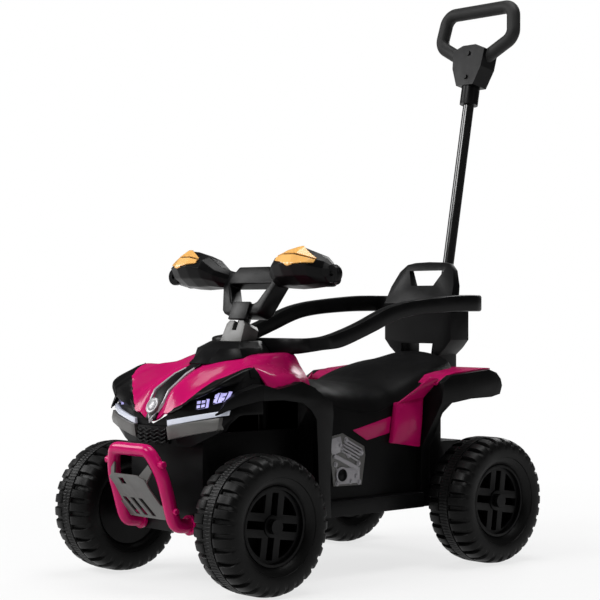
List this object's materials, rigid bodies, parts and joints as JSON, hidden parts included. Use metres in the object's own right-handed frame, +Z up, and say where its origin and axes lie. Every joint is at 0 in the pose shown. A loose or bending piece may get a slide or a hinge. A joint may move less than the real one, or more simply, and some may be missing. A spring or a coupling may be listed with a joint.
{
  "type": "kids quad bike",
  "caption": "Ride-on quad bike for small children with steered front wheels, a saddle with a guard ring and seat back, hand guards, lamps, bumper and a rear push handle.",
  "frame": {"origin": "on the floor under the middle of the whole object, push handle included", "axes": "+Z up, front towards -Y, +X to the rider's left"},
  "size_m": [0.396, 0.7447, 0.8881],
  "materials": {
    "magenta_body": "gloss",
    "black_body": "satin",
    "saddle": "fine grain",
    "grey_trim": "satin",
    "silver_plate": "metallic satin",
    "amber": "gloss",
    "lamp": "clear gloss",
    "light_strip": "silver gloss",
    "tube_paint": "gloss",
    "grip_rubber": "matte",
    "steel": "zinc",
    "cell_case": "satin",
    "tyre": "matte",
    "rim": "satin"
  },
  "bodies": {
    "chassis": {"lower_body": "black_body", "hood_cowl": "magenta_body", "nose_strip": "black_body", "nose_badge": "grey_trim", "front_fascia": "black_body", "headlight_lenses": "lamp", "light_strips": "light_strip", "chin_trim": "grey_trim", "nose_grille": "black_body", "front_arch_left": "black_body", "front_arch_right": "black_body", "rear_cowl": "magenta_body", "rear_arch_left": "black_body", "rear_arch_right": "black_body", "saddle": "saddle", "seat_back": "black_body", "guard_ring": "black_body", "dash_cover": "black_body", "steering_bezel": "grey_trim", "engine_plates": "silver_plate", "bumper_tube": "magenta_body", "side_stripes": "magenta_body", "bumper_plate": "grey_trim", "axle_carrier": "black_body", "kingpins": "steel", "rear_axle": "steel", "rear_axle_nuts": "rim", "push_socket": "black_body", "push_tube": "tube_paint", "push_hub": "black_body", "push_grip": "grip_rubber", "battery_box": "black_body", "battery_cells": "cell_case", "battery_door": "black_body", "hub_screws": "rim"},
    "steering": {"steering_column": "tube_paint", "handlebar_yoke": "black_body", "handlebar_tube": "tube_paint", "grips": "grip_rubber", "hand_guard_left": "black_body", "hand_guard_right": "black_body", "guard_pads": "amber"},
    "horn": {"horn_button": "amber"},
    "switch": {"light_switch": "black_body"},
    "knuckle_left_body": {"knuckle_left": "steel", "front_nut_left": "rim"},
    "knuckle_right_body": {"knuckle_right": "steel", "front_nut_right": "rim"},
    "tie_rod_body": {"tie_rod": "steel"},
    "wheel_front_left": {"front_left_tyre": "tyre", "front_left_rim": "rim"},
    "wheel_front_right": {"front_right_tyre": "tyre", "front_right_rim": "rim"},
    "wheel_rear_left": {"rear_left_tyre": "tyre", "rear_left_rim": "rim"},
    "wheel_rear_right": {"rear_right_tyre": "tyre", "rear_right_rim": "rim"}
  },
  "joints": [
    {"name": "steer", "type": "hinge", "parent": "chassis", "child": "steering", "pos_m": [0, -0.15585, 0.365], "axis": [0, 0.3746, 0.9272], "range_deg": [-22, 22]},
    {"name": "knuckle_left_turn", "type": "hinge", "parent": "chassis", "child": "knuckle_left_body", "pos_m": [0.108, -0.26285, 0.095], "axis": [0, 0, 1], "range_deg": [-21.5, 21.5]},
    {"name": "knuckle_right_turn", "type": "hinge", "parent": "chassis", "child": "knuckle_right_body", "pos_m": [-0.108, -0.26285, 0.095], "axis": [0, 0, 1], "range_deg": [-21.5, 21.5]},
    {"name": "tie_rod_swing", "type": "hinge", "parent": "knuckle_left_body", "child": "tie_rod_body", "pos_m": [0.108, -0.21785, 0.0954], "axis": [0, 0, 1], "range_deg": [-21.5, 21.5]},
    {"name": "wheel_front_left_spin", "type": "hinge", "parent": "knuckle_left_body", "child": "wheel_front_left", "pos_m": [0.16, -0.26285, 0.095], "axis": [1, 0, 0], "continuous": true},
    {"name": "wheel_front_right_spin", "type": "hinge", "parent": "knuckle_right_body", "child": "wheel_front_right", "pos_m": [-0.16, -0.26285, 0.095], "axis": [1, 0, 0], "continuous": true},
    {"name": "wheel_rear_left_spin", "type": "hinge", "parent": "chassis", "child": "wheel_rear_left", "pos_m": [0.16, 0.18915, 0.095], "axis": [1, 0, 0], "continuous": true},
    {"name": "wheel_rear_right_spin", "type": "hinge", "parent": "chassis", "child": "wheel_rear_right", "pos_m": [-0.16, 0.18915, 0.095], "axis": [1, 0, 0], "continuous": true},
    {"name": "horn_press", "type": "slide", "parent": "chassis", "child": "horn", "axis": [0, 0, -1], "range_m": [0, 0.003], "stiffness_N_per_m": 400},
    {"name": "light_switch_rock", "type": "hinge", "parent": "chassis", "child": "switch", "pos_m": [0, 0.22215, 0.219], "axis": [1, 0, 0], "range_deg": [-6, 6], "stiffness_Nm_per_rad": 0.02}
  ],
  "couplings": [
    {"joint": "knuckle_left_turn", "follows": "steer", "ratio": 0.9655},
    {"joint": "knuckle_right_turn", "follows": "steer", "ratio": 0.9655},
    {"joint": "tie_rod_swing", "follows": "steer", "ratio": -0.9655}
  ]
}
